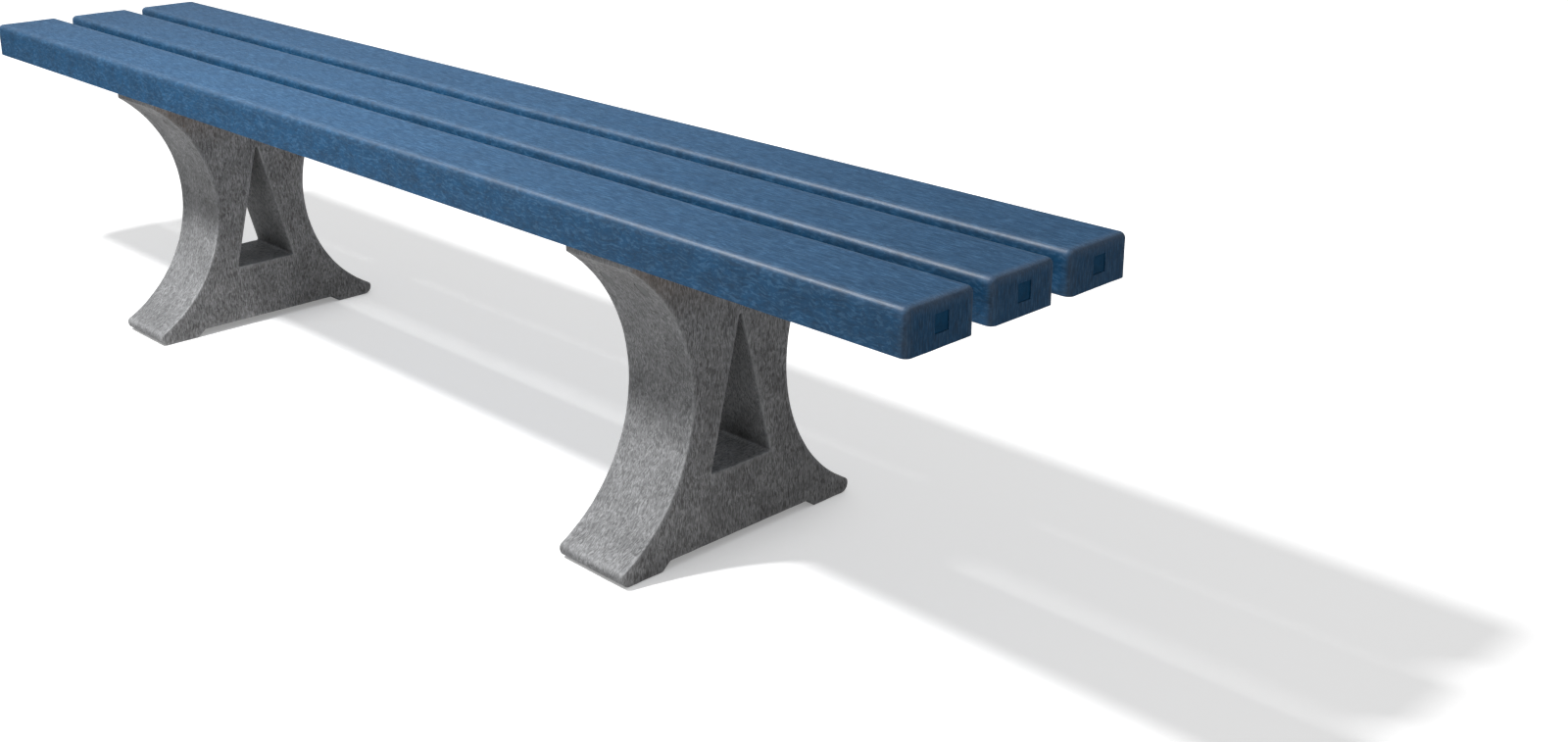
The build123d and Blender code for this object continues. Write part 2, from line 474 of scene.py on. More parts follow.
def make_fibre_group():
    """Short drawn-out streaks that wander a little, pale and dark, along the first axis."""
    sizes = {"Vector": None, "Length": 0.012, "Width": 0.0015, "Swirl": 0.002, "Sharpness": 0.5}
    tree, given, result = open_group("Fibre streaks", sizes, ("Pale", "Dark", "Height"))
    waves = put(tree, "TexNoise", {"Vector": given["Vector"], "Scale": 38.0, "Detail": 1.0})
    centred = vector_maths(tree, "SUBTRACT", waves.outputs["Color"], (0.5, 0.5, 0.5))
    bent = vector_maths(tree, "ADD", given["Vector"], scaled(tree, centred, given["Swirl"]))
    size = put(tree, "CombineXYZ", {0: given["Length"], 1: given["Width"], 2: given["Width"]})
    drawn = vector_maths(tree, "DIVIDE", bent, size.outputs[0])
    fine = cloud(tree, drawn, 1.0, detail=3.0, roughness=0.62)
    other = cloud(tree, vector_maths(tree, "ADD", drawn, (17.3, 5.1, 9.7)), 0.8, 2.0, 0.55)
    half = maths(tree, "SUBTRACT", 0.70, times(tree, given["Sharpness"], 0.12))
    feed(tree, result, {
        "Pale": level(tree, fine, 0.47, half),
        "Dark": level(tree, other, 0.50, half),
        "Height": maths(tree, "SUBTRACT", fine, times(tree, other, 0.5)),
    })


def make_mottle_group():
    """Cloudy patches of two sizes, as unevenly mixed plastic shows."""
    sizes = {"Vector": None, "Patch": 0.06}
    tree, given, result = open_group("Cloudy mottle", sizes, ("Patches", "Spots"))
    scale = maths(tree, "DIVIDE", 1.0, given["Patch"])
    wide = cloud(tree, given["Vector"], scale, detail=3.0, roughness=0.55, distortion=0.4)
    small = cloud(tree, given["Vector"], times(tree, scale, 7.0), 2.0, 0.6)
    feed(tree, result, {"Patches": level(tree, wide, 0.30, 0.70), "Spots": level(tree, small, 0.36, 0.66)})


def make_fleck_group():
    """Sparse irregular flecks of ground-up plastic with a random value each."""
    sizes = {"Vector": None, "Size": 0.004, "Share": 0.2}
    tree, given, result = open_group("Ground flecks", sizes, ("Mask", "Chance"))
    wide = scaled(tree, given["Vector"], maths(tree, "DIVIDE", 1.0, given["Size"]))
    ruffle = put(tree, "TexNoise", {"Vector": wide, "Scale": 1.7, "Detail": 2.0})
    ragged = vector_maths(tree, "ADD", wide, ruffle.outputs["Color"])
    cells = put(tree, "TexVoronoi", {"Vector": ragged, "Scale": 1.0, "Randomness": 1.0})
    parts = put(tree, "SeparateColor", {0: cells.outputs["Color"]})
    chosen = maths(tree, "LESS_THAN", parts.outputs[0], given["Share"])
    core = level(tree, cells.outputs["Distance"], 0.52, 0.22)
    feed(tree, result, {"Mask": times(tree, chosen, core), "Chance": parts.outputs[1]})


def make_wear_group():
    """Scuffing that follows the edges of a piece and breaks up along them."""
    sizes = {"Vector": None, "Edge": 0.0, "Breakup": 0.5}
    tree, given, result = open_group("Edge wear", sizes, ("Wear",))
    ragged = cloud(tree, given["Vector"], 160.0, detail=4.0, roughness=0.65)
    slow = cloud(tree, given["Vector"], 22.0, detail=2.0)
    both = maths(tree, "ADD", times(tree, ragged, 0.6), times(tree, slow, 0.4))
    broken = level(tree, both, 0.35, 0.62)
    kept = maths(tree, "SUBTRACT", 1.0, given["Breakup"])
    spread = maths(tree, "ADD", kept, times(tree, broken, given["Breakup"]))
    feed(tree, result, {"Wear": maths(tree, "MULTIPLY", given["Edge"], spread, clamp=True)})


GROUPS = (make_fibre_group, make_mottle_group, make_fleck_group, make_wear_group)


def start_material(name):
    """A material with only its shader and output, and its shared groups made if need be."""
    if not bpy.data.node_groups:
        for make in GROUPS:
            make()
    material = bpy.data.materials.new(name)
    material.use_nodes = True
    tree = material.node_tree
    tree.nodes.clear()
    shader = put(tree, "BsdfPrincipled")
    put(tree, "OutputMaterial", {"Surface": shader.outputs[0]})
    return material, tree, shader


def object_place(tree):
    """Where a point lies in the bench's own frame."""
    return put(tree, "TexCoord").outputs["Object"]


def swap_axes(tree, vector, order):
    """A vector whose parts are taken in another order."""
    parts = put(tree, "SeparateXYZ", {0: vector})
    chosen = {i: parts.outputs[o] for i, o in enumerate(order)}
    return put(tree, "CombineXYZ", chosen).outputs[0]


def facing(tree, axis, low, high):
    """A mask of the faces that look along an axis, either way."""
    parts = put(tree, "SeparateXYZ", {0: put(tree, "NewGeometry").outputs["Normal"]})
    return level(tree, maths(tree, "ABSOLUTE", parts.outputs[axis]), low, high)


def measure(tree, name):
    """A number stored on the piece's mesh."""
    return put(tree, "Attribute", attribute_name=name).outputs["Fac"]


def emboss(tree, height, distance, strength):
    """A normal that shows a height as relief."""
    inputs = {"Height": height, "Distance": distance, "Strength": strength}
    return put(tree, "Bump", inputs).outputs[0]


def fibres(tree, vector, length, width, swirl, sharpness):
    """Drawn-out streaks of the given size."""
    return place_group(tree, "Fibre streaks", {
        "Vector": vector, "Length": length, "Width": width, "Swirl": swirl, "Sharpness": sharpness,
    })


def flecks(tree, vector, size, share_of_cells):
    """Flecks of the given size in a share of all places."""
    return place_group(tree, "Ground flecks", {"Vector": vector, "Size": size, "Share": share_of_cells})


def mottle(tree, vector, patch):
    """Cloudy patches of the given size, and the spots in them."""
    return place_group(tree, "Cloudy mottle", {"Vector": vector, "Patch": patch})


def wear(tree, vector, breakup):
    """How scuffed the edges are."""
    inputs = {"Vector": vector, "Edge": measure(tree, "edge"), "Breakup": breakup}
    return place_group(tree, "Edge wear", inputs)["Wear"]


# ---- materials -----------------------------------------------------------------------
def plank_material(settings):
    """Blue recycled plastic with drawn-out fibres, cloudy patches and paler edges, partly scuffing and
    partly painted highlight.
    """
    material, tree, shader = start_material("recycled_plastic_blue")
    spot = object_place(tree)
    ends = facing(tree, 0, 0.55, 0.85)
    upright = facing(tree, 1, 0.45, 0.85)
    long_grain = fibres(tree, spot, 0.018, 0.0013, 0.005, 0.7)
    rubbed = fibres(tree, spot, 0.010, 0.0028, 0.014, 0.6)
    end_grain = fibres(tree, swap_axes(tree, spot, (2, 1, 0)), 0.014, 0.0013, 0.002, 0.7)
    patches = mottle(tree, spot, 0.030)

    def by_face(top, side, end):
        return mix_value(tree, ends, mix_value(tree, upright, top, side), end)

    pale = by_face(long_grain["Pale"], rubbed["Pale"], end_grain["Pale"])
    dark = by_face(long_grain["Dark"], rubbed["Dark"], end_grain["Dark"])
    height = mix_value(tree, ends, long_grain["Height"], end_grain["Height"])
    base = blend(tree, upright, opaque(settings.body_colour), opaque(settings.side_colour))
    base = blend(tree, ends, base, opaque(settings.end_colour))
    lift = by_face(0.56, 0.38, 0.40)
    colour = blend(tree, times(tree, pale, lift), base, opaque(settings.pale_colour))
    deep = mix_value(tree, ends, 0.56, 0.85)
    colour = blend(tree, times(tree, dark, deep), colour, opaque(settings.dark_colour))
    uneven = mix_value(tree, upright, 0.05, 0.13)
    swing = level(tree, patches["Patches"], 0.0, 1.0, -1.0, 1.0)
    shade = maths(tree, "ADD", 1.0, times(tree, uneven, swing))
    spots = level(tree, patches["Spots"], 0.0, 1.0, 0.95, 1.05)
    tint = scaled(tree, colour, times(tree, shade, spots))
    # Paler edges: partly scuffing, partly painted highlight and reflection; the tops of the ends take the
    # most.
    scuffs_and_highlight, top_of_end = wear(tree, spot, 0.35), measure(tree, "end")
    worn = times(tree, scuffs_and_highlight, mix_value(tree, top_of_end, 0.18, 0.56))
    sheen = times(tree, scuffs_and_highlight, maths(tree, "SUBTRACT", 1.0, top_of_end))
    feed(tree, shader, {
        "Base Color": blend(tree, worn, tint, opaque(settings.edge_wear_and_highlight_colour)),
        "Roughness": level(tree, height, 0.0, 0.6, 0.54, 0.46),
        "Specular IOR Level": 0.24,
        "Coat Weight": times(tree, sheen, 0.45),
        "Coat Roughness": 0.50,
        "Coat Tint": (1.0, 0.94, 0.88, 1.0),
        "Normal": emboss(tree, height, 0.0004, 0.5),
    })
    return material


def plug_material(settings):
    """Smooth deep blue plastic of the moulded end plugs."""
    material, tree, shader = start_material("plug_plastic_blue")
    spot = object_place(tree)
    patches = mottle(tree, spot, 0.012)
    shade = level(tree, patches["Patches"], 0.0, 1.0, 0.88, 1.12)
    tint = scaled(tree, tuple(settings.plug_colour), shade)
    worn = times(tree, wear(tree, spot, 0.6), 0.10)
    feed(tree, shader, {
        "Base Color": blend(tree, worn, tint, opaque(settings.body_colour)),
        "Roughness": level(tree, patches["Spots"], 0.0, 1.0, 0.55, 0.65),
        "Specular IOR Level": 0.12,
        "Normal": emboss(tree, patches["Spots"], 0.0002, 0.3),
    })
    return material


def leg_material(settings):
    """Grey cast plastic: fine speckle, streaklets down the sides, and a painted brownish reflection of the
    seat near the top, broken into flecks.
    """
    material, tree, shader = start_material("recycled_plastic_grey")
    spot = object_place(tree)
    sides = facing(tree, 0, 0.6, 0.9)
    parts = put(tree, "SeparateXYZ", {0: spot})
    skin = put(tree, "CombineXYZ", {0: measure(tree, "run"), 1: parts.outputs[0]}).outputs[0]
    down = fibres(tree, swap_axes(tree, spot, (2, 1, 0)), 0.008, 0.0015, 0.010, 0.8)
    over = fibres(tree, skin, 0.0055, 0.0016, 0.016, 0.8)
    pale, dark, height = [mix_value(tree, sides, over[k], down[k]) for k in ("Pale", "Dark", "Height")]
    patches = mottle(tree, spot, 0.045)
    light, body = opaque(settings.pale_colour), opaque(settings.body_colour)
    colour = blend(tree, times(tree, pale, mix_value(tree, sides, 0.46, 0.60)), body, light)
    deep = times(tree, dark, mix_value(tree, sides, 0.62, 0.80))
    colour = blend(tree, deep, colour, opaque(settings.dark_colour))
    ground = flecks(tree, spot, 0.0032, 0.16)
    colour = blend(tree, times(tree, ground["Mask"], 0.26), colour, light)
    # Painted reflection: the grey turns brown towards the top, most on the side faces, as if lit from the
    # seat above; flecks break it up.
    stray = flecks(tree, spot, 0.0070, 0.10)
    rise = level(tree, parts.outputs[2], 0.290, 0.380, 0.12, 1.0)
    high = times(tree, rise, mix_value(tree, sides, 0.15, 1.0))
    painted_reflection = times(tree, maths(tree, "ADD", times(tree, stray["Mask"], 0.5), 0.42), high)
    colour = blend(tree, painted_reflection, colour, opaque(settings.warm_reflection_colour))
    wide = level(tree, patches["Patches"], 0.0, 1.0, 0.88, 1.12)
    small = level(tree, patches["Spots"], 0.0, 1.0, 0.92, 1.08)
    tint = scaled(tree, colour, times(tree, wide, small))
    # Edges and corners turn paler: wear, except at the window's inner sill corners, where the pale line is
    # a painted highlight.
    worn = times(tree, wear(tree, spot, 0.6), 0.35)
    feed(tree, shader, {
        "Base Color": blend(tree, worn, tint, light),
        "Roughness": level(tree, height, 0.0, 0.6, 0.72, 0.58),
        "Specular IOR Level": 0.30,
        "Normal": emboss(tree, height, 0.0007, 0.6),
    })
    return material


def steel_material(name, colour, grain, roughness):
    """Bare or plated steel with a spangle and fine drawn lines."""
    material, tree, shader = start_material(name)
    spot = object_place(tree)
    spangle = flecks(tree, spot, grain, 0.8)
    lines = fibres(tree, spot, 0.02, 0.0004, 0.0004, 0.9)
    tint = scaled(tree, colour, level(tree, spangle["Chance"], 0.0, 1.0, 0.75, 1.1))
    dull = opaque(c * 0.6 for c in colour)
    feed(tree, shader, {
        "Base Color": blend(tree, times(tree, lines["Dark"], 0.3), tint, dull),
        "Roughness": level(tree, lines["Pale"], 0.0, 1.0, roughness, roughness + 0.15),
        "Metallic": 1.0,
        "Normal": emboss(tree, lines["Height"], 0.0001, 0.3),
    })
    return material


# ---- planks --------------------------------------------------------------------------
def slab_ring(half_x, half_y, radius, depth, spacing, corner_pieces=6):
    """A rounded rectangle inset by depth; every inset has the same number of points."""
    ring = []
    flat_x, flat_y = half_x - radius, half_y - radius
    for turn, (sx, sy) in enumerate(((1, 1), (-1, 1), (-1, -1), (1, -1))):
        centre = Vector((sx * flat_x, sy * flat_y))
        for k in range(corner_pieces + 1):
            angle = math.pi / 2 * (turn + k / corner_pieces)
            spoke = Vector((math.cos(angle), math.sin(angle))) * (radius - depth)
            ring.append(tuple(centre + spoke))
        end = centre + Vector((math.cos(angle), math.sin(angle))) * (radius - depth)
        length = 2 * (flat_x if turn % 2 == 0 else flat_y)
        way = Vector(((-1, 0), (0, -1), (1, 0), (0, 1))[turn])
        ring += [tuple(end + way * t) for t in steps(0, length, spacing)[1:-1]]
    return ring


def plank_mesh(settings, leg):
    """A plank about its own middle: rounded slab, core pocket and bolt holes."""
    low, high = FRAME_PLANK
    half = (high - low) / 2
    radius, spacing = settings.edge_radius, settings.grid
    pocket = (FRAME_POCKET[1].y - FRAME_POCKET[0].y) / 2
    bm = bmesh.new()
    outer = slab_ring(half.x, half.y, radius, 0.0, spacing)
    shoulder = half.z - radius

    turns = np.linspace(0, math.pi / 2, 8)
    rings = []
    for a in turns:
        ring = slab_ring(half.x, half.y, radius, radius * (1 - math.cos(a)), spacing)
        rings.append([(x, y, shoulder + radius * math.sin(a)) for x, y in ring])
    bridge(bm, rings)

    closed, runs = run_lengths(outer)
    heights = steps(-half.z, shoulder, spacing)

    def on_wall(s, z):
        return np.interp(s, runs, closed[:, 0]), np.interp(s, runs, closed[:, 1]), z

    corners = [(pocket, -pocket), (pocket, pocket), (-pocket, pocket), (-pocket, -pocket)]
    square = space_out(corners, spacing)
    mouths = []
    for side in (1, -1):
        at_end = np.abs(closed[1:, 0] - side * half.x) < 1e-7
        middle = runs[1:][at_end].mean()
        mouths.append([(middle + u, v) for u, v in square])
    panel(bm, [border(runs, heights)] + mouths, runs[1:-1], heights[1:-1], on_wall, 0.3 * spacing)

    xs = steps(-half.x + radius, half.x - radius, spacing)
    ys = steps(-half.y + radius, half.y - radius, spacing)
    top = slab_ring(half.x, half.y, radius, radius, spacing)
    top = [p for i, p in enumerate(top) if math.dist(p, top[i - 1]) > 1e-7]
    panel(bm, [top], xs, ys, lambda x, y: (x, y, half.z), 0.3 * spacing)

    holes = [circle(x, 0.0, leg.hole_radius, 24) for x in plank_bolts(leg)]
    panel(bm, [outer] + holes, xs, ys, lambda x, y: (x, y, -half.z), 0.4 * spacing)
    for hole in holes:
        bridge(bm, [[(x, y, z) for x, y in hole] for z in (-half.z, -pocket)])

    lengths = steps(-half.x, half.x, 8 * spacing)
    widths = steps(-pocket, pocket, spacing)
    floor = [border(lengths, widths)] + holes
    panel(bm, floor, lengths[1:-1], widths[1:-1], lambda x, y: (x, y, -pocket), 0.5 * spacing)
    others = [(pocket, z) for z in widths] + [(y, pocket) for y in widths[-2::-1]]
    others += [(-pocket, z) for z in widths[-2::-1]]
    bridge(bm, [[(x, y, z) for y, z in others] for x in lengths], closed=False)
    close_up(bm)
    return bm, half


def plank_bolts(leg):
    """Where the bolts stand along a plank."""
    for end in ENDS:
        low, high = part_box(f"leg_{end}")
        for side in (-1, 1):
            yield (low.x + high.x) / 2 + side * leg.bolt_spacing / 2


def plank_measures(bm, half, radius):
    """Per point: how near an edge of the plank it lies, and how near the top of an end."""
    near, end = [], []
    for vert in bm.verts:
        gaps = sorted((half.x - abs(vert.co.x), half.y - abs(vert.co.y), half.z - vert.co.z))
        near.append(share(1.0 - (gaps[1] - 0.3 * radius) / radius))
        gap = max(half.x - abs(vert.co.x), half.z - vert.co.z)
        end.append(share(2.0 - gap / radius))
    return {"edge": near, "end": end}


class BENCH_OT_planks(bpy.types.Operator):
    """Build the three seat planks"""

    bl_idname = "bench.planks"
    bl_label = "Build Seat Planks"

    def execute(self, context):
        settings, leg = context.scene.bench_planks, context.scene.bench_legs
        material = plank_material(settings)
        blank, half = plank_mesh(settings, leg)
        measures = plank_measures(blank, half, settings.edge_radius)
        for number, name in enumerate(PLANKS):
            low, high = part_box(f"seat_plank_{name}")
            bm = blank.copy()
            sink(bm, settings.waviness, (0.16, 0.030, 0.025), Vector((7.1 * number, 3.3, 1.7)))
            bmesh.ops.translate(bm, verts=bm.verts, vec=(low + high) / 2)
            finish_piece(f"plank_{name}", bm, material,
                         [f"seat_plank_{name}"], measures)
        blank.free()
        return {"FINISHED"}


# ---- end plugs -----------------------------------------------------------------------
def plug_mesh(length, half, direction):
    """A square plug about its outer face, eased in front and tapered behind."""
    ease, taper, corner, spacing = 0.0005, 0.0015, 0.0016, 0.0025
    sections = [(0.0, ease), (ease * 0.3, ease * 0.3), (ease, 0.0)]
    sections += [(back, 0.0) for back in steps(ease, length - taper, spacing)[1:]]
    sections.append((length, taper))
    bm = bmesh.new()
    rings = [slab_ring(half, half, corner, depth, spacing, 4) for _, depth in sections]
    placed = [[(-direction * back, y, z) for y, z in ring] for (back, _), ring in zip(sections, rings)]
    bridge(bm, placed)
    grid = steps(-half, half, spacing)
    for (back, _), ring in ((sections[0], rings[0]), (sections[-1], rings[-1])):
        x = -direction * back
        panel(bm, [ring], grid, grid, lambda y, z, x=x: (x, y, z), spacing * 0.3)
    close_up(bm)
    return bm


def on_plug_edge(spot, half, reach=0.001):
    """Whether a point lies close to the edge of a plug's outer face."""
    return abs(spot.x) < reach and max(abs(spot.y), abs(spot.z)) > half - reach


class BENCH_OT_plugs(bpy.types.Operator):
    """Build the six plugs that close the ends of the planks"""

    bl_idname = "bench.plugs"
    bl_label = "Build End Plugs"

    def execute(self, context):
        material = plug_material(context.scene.bench_planks)
        for plank in PLANKS:
            for direction, end in zip((-1, 1), ENDS):
                node = f"end_plug_{plank}_{end}"
                low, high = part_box(node)
                half = (high.y - low.y) / 2
                bm = plug_mesh(high.x - low.x, half, direction)
                near = [float(on_plug_edge(vert.co, half)) for vert in bm.verts]
                face = (low + high) / 2
                face.x = high.x if direction > 0 else low.x
                bmesh.ops.translate(bm, verts=bm.verts, vec=face)
                name = f"plug_{plank}_{end}"
                finish_piece(name, bm, material, [node], {"edge": near})
        return {"FINISHED"}


# ---- legs ----------------------------------------------------------------------------
LEG_WAVES = (0.022, 0.022, 0.030)


def leg_outline(leg):
    """The leg's outline in depth and height, anticlockwise from the middle of its arch."""
    top, toe = FRAME_LEG[1].z, FRAME_LEG[1].y
    centre = Vector((leg.waist_half_width + leg.bay_radius, leg.bay_height))
    spacing = leg.grid

    toe_middle_y = toe - leg.toe_radius
    reach = leg.bay_radius + leg.toe_radius
    toe_middle_z = centre.y - math.sqrt(reach**2 - (centre.x - toe_middle_y) ** 2)
    meet = math.atan2(centre.y - toe_middle_z, centre.x - toe_middle_y)
    arm = math.acos((centre.x - leg.arm_half_width) / leg.bay_radius)

    rear = [(0.0, leg.arch_height), (leg.arch_half_width, leg.arch_height), (leg.pad_half_width, 0.0)]
    rear += arc((toe - leg.sole_radius, leg.sole_radius), leg.sole_radius, -math.pi / 2, 0.0, 0.001)
    rear += arc((toe_middle_y, toe_middle_z), leg.toe_radius, 0.0, meet, 0.001)
    rear += arc(centre, leg.bay_radius, math.pi + meet, math.pi - arm, spacing)[1:]
    rear.append((leg.arm_half_width, top))
    outline = rear + [(0.0, top)] + [(-y, z) for y, z in rear[:0:-1]]
    sharp = {1, 2, len(rear) - 2}
    sharp |= {len(outline) - i for i in sharp}
    return space_out(soften(outline, sharp, leg.corner_radius), spacing)


def window_outline(leg):
    """The triangular window's outline, clockwise from the middle of its sill."""
    corners = [
        (0.0, leg.window_sill),
        (-leg.sill_half_width, leg.window_sill),
        (0.0, leg.window_apex),
        (leg.sill_half_width, leg.window_sill),
    ]
    return space_out(soften(corners, {1, 2, 3}, leg.window_radius), leg.grid)


def run_at(closed, runs, chosen, depths):
    """The runs of the chosen stretch of an outline at the given depths."""
    order = np.argsort(closed[chosen, 0])
    return np.interp(depths, closed[chosen, 0][order], runs[chosen][order])


def leg_bolts(leg):
    """Where a leg's bolts stand from its middle, two under each plank."""
    for place in (-1, 0, 1):
        for side in (-1, 1):
            yield side * leg.bolt_spacing / 2, place * leg.plank_pitch


def leg_mesh(leg):
    """A leg about x = 0: two side faces, outer and window walls, and the stepped bores."""
    thickness = FRAME_LEG[1].x - FRAME_LEG[0].x
    top = FRAME_LEG[1].z
    radius, spacing = leg.edge_radius, leg.grid
    inner_x = thickness / 2 - radius
    bm = bmesh.new()

    outline, window = leg_outline(leg), window_outline(leg)
    outer, outer_runs = run_lengths(outline)
    hole, hole_runs = run_lengths(window)
    on_top = outer[:, 1] > top - 1e-6
    upper_rear = (outer[:, 1] >= leg.bay_height) & (outer[:, 0] > 0.01) & ~on_top
    upper_front = (outer[:, 1] >= leg.bay_height) & (outer[:, 0] < -0.01) & ~on_top
    peak = hole[:, 1] > leg.window_sill + 0.02
    across = steps(-inner_x, inner_x, spacing)

    mouths = {"outer": [], "window": []}
    for x, y in leg_bolts(leg):
        small, large = circle(x, y, leg.hole_radius), circle(x, y, leg.bore_radius)
        depths = [q for _, q in small]
        at = run_at(outer, outer_runs, on_top, depths)
        mouths["outer"].append(list(zip(at, [p for p, _ in small])))
        depths = [q for _, q in large]
        if abs(y) < 1e-6:
            wall, closed, runs, chosen = "window", hole, hole_runs, peak
        else:
            wall, closed, runs = "outer", outer, outer_runs
            chosen = upper_rear if y > 0 else upper_front
        at = run_at(closed, runs, chosen, depths)
        mouths[wall].append(list(zip(at, [p for p, _ in large])))
        rings = [[(p, q, np.interp(s, runs, closed[:, 1])) for s, (p, q) in zip(at, large)]]
        seat = top - leg.bolt_seat_depth
        rings.append([(p, q, seat) for p, q in large])
        rings.append([(p, q, seat) for p, q in small])
        rings.append([(p, q, top) for p, q in small])
        bridge(bm, rings)

    for closed, runs, wall in ((outer, outer_runs, "outer"), (hole, hole_runs, "window")):
        def on_wall(s, x, closed=closed, runs=runs):
            return x, np.interp(s, runs, closed[:, 0]), np.interp(s, runs, closed[:, 1])

        loops = [border(runs, across)] + mouths[wall]
        panel(bm, loops, runs[1:-1], across[1:-1], on_wall, 0.3 * spacing)

    turns = np.linspace(0, math.pi / 2, 6)
    for side in (-1, 1):
        edges = []
        for points in (outline, window):
            rings = []
            for a in turns:
                ring = inset(points, radius * (1 - math.cos(a)), top)
                rings.append([(side * (inner_x + radius * math.sin(a)), y, z) for y, z in ring])
            bridge(bm, rings)
            edges.append([(y, z) for _, y, z in rings[-1]])
        ys = steps(-FRAME_LEG[1].y, FRAME_LEG[1].y, 1.4 * spacing)
        zs = steps(0, top, 1.4 * spacing)
        panel(bm, edges, ys, zs, lambda y, z: (side * thickness / 2, y, z), 0.6 * spacing)
    close_up(bm)
    return bm, (outer, outer_runs), (hole, hole_runs)


def leg_measures(bm, leg, outer, window):
    """Per point: how near an edge it lies, and its run along the outline it belongs to."""
    half = (FRAME_LEG[1].x - FRAME_LEG[0].x) / 2
    points = [(p, run) for closed, runs in (outer, window) for p, run in zip(closed[:-1], runs)]
    tree = kdtree.KDTree(len(points))
    for i, (p, _) in enumerate(points):
        tree.insert((p[0], p[1], 0.0), i)
    tree.balance()
    flat, fade, reach = 0.001, 0.004, 0.007
    toe = FRAME_LEG[1].y - fade
    # Each corner takes a pale line through the whole depth: wear at the arm tips, toes and pads, a painted
    # highlight at the window's two inner sill corners.
    rear_corners = [
        (leg.arm_half_width, bay_at(leg, leg.arm_half_width, 0.0)),
        (toe, 0.006),
        (toe, 0.017),
        (leg.sill_half_width, leg.window_sill),
        (leg.pad_half_width, 0.0),
    ]
    corners = [(side * y, z) for y, z in rear_corners for side in (-1, 1)]
    near, run = [], []
    for vert in bm.verts:
        _, index, gap = tree.find((vert.co.y, vert.co.z, 0.0))
        edge = 1.0 - (max(half - abs(vert.co.x), gap) - flat) / fade
        corner = 1.0 - min(math.dist((vert.co.y, vert.co.z), c) for c in corners) / reach
        near.append(share(max(edge, corner)))
        run.append(points[index][1])
    return {"edge": near, "run": run}


def finish_on_legs(leg, blank, material, outlines, name, node):
    """Turns a mesh about x = 0 into a finished piece of either leg."""
    measures = leg_measures(blank, leg, *outlines)
    for number, end in enumerate(ENDS):
        low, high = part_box(f"leg_{end}")
        bm = blank.copy()
        sink(bm, leg.unevenness, LEG_WAVES, Vector((4.7 * number, 1.1, 2.9)))
        bmesh.ops.translate(bm, verts=bm.verts, vec=((low.x + high.x) / 2, 0, 0))
        finish_piece(f"{name}_{end}", bm, material, [f"{node}_{end}"], measures)
    blank.free()


class BENCH_OT_legs(bpy.types.Operator):
    """Cast the two legs"""

    bl_idname = "bench.legs"
    bl_label = "Cast Legs"

    def execute(self, context):
        leg = context.scene.bench_legs
        blank, *outlines = leg_mesh(leg)
        finish_on_legs(leg, blank, leg_material(leg), outlines, "leg_casting", "leg")
        return {"FINISHED"}


def cap_mesh(leg):
    """The caps of one leg's counterbores about x = 0, their lower faces flush with the bays."""
    top, radius, seam = leg.cap_top, leg.bore_radius - 0.0001, 0.00012
    bm = bmesh.new()
    for x, y in leg_bolts(leg):
        if abs(y) < 1e-6:
            continue
        rings = [circle(x, y, radius * part) for part in (0.34, 0.67, 0.94)]
        faces = [[(p, q, bay_at(leg, q, seam)) for p, q in ring] for ring in rings]
        rim = circle(x, y, radius)
        faces.append([(p, q, bay_at(leg, q, seam + 0.0004)) for p, q in rim])
        faces.append([(p, q, top - 0.0006) for p, q in rim])
        faces.append([(p, q, top) for p, q in rings[-1]])
        made = bridge(bm, faces)
        bm.faces.new(made[0])
        bm.faces.new(made[-1])
    close_up(bm)
    return bm


def bay_at(leg, y, depth):
    """Height of the upper half of a bay, a little way into the material, at a depth."""
    run = leg.waist_half_width + leg.bay_radius - abs(y)
    return leg.bay_height + math.sqrt((leg.bay_radius + depth) ** 2 - run**2)


class BENCH_OT_caps(bpy.types.Operator):
    """Close the counterbores of both legs with caps"""

    bl_idname = "bench.caps"
    bl_label = "Fit Bore Caps"

    def execute(self, context):
        leg = context.scene.bench_legs
        material = bpy.data.materials["recycled_plastic_grey"]
        outlines = run_lengths(leg_outline(leg)), run_lengths(window_outline(leg))
        finish_on_legs(leg, cap_mesh(leg), material, outlines, "caps", "bore_caps")
        return {"FINISHED"}


# ---- steel ---------------------------------------------------------------------------
class BENCH_OT_steel(bpy.types.Operator):
    """Finish the core tubes, bolts and washers"""

    bl_idname = "bench.steel"
    bl_label = "Finish Steel"

    def execute(self, context):
        zinc = steel_material("galvanised_steel", (0.42, 0.44, 0.45), 0.006, 0.38)
        stainless = steel_material("stainless_steel", (0.50, 0.50, 0.49), 0.0012, 0.26)
        finishes = {f"core_tube_{plank}": zinc for plank in PLANKS}
        for end in ENDS:
            finishes[f"seat_bolts_{end}"] = stainless
            finishes[f"bolt_washers_{end}"] = stainless
        for node, material in finishes.items():
            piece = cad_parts[node]
            for slot in piece.material_slots:
                slot.material = material
        return {"FINISHED"}


# ---- studio --------------------------------------------------------------------------
HORIZON_WAY = (-0.92, 0.37, 0.13)


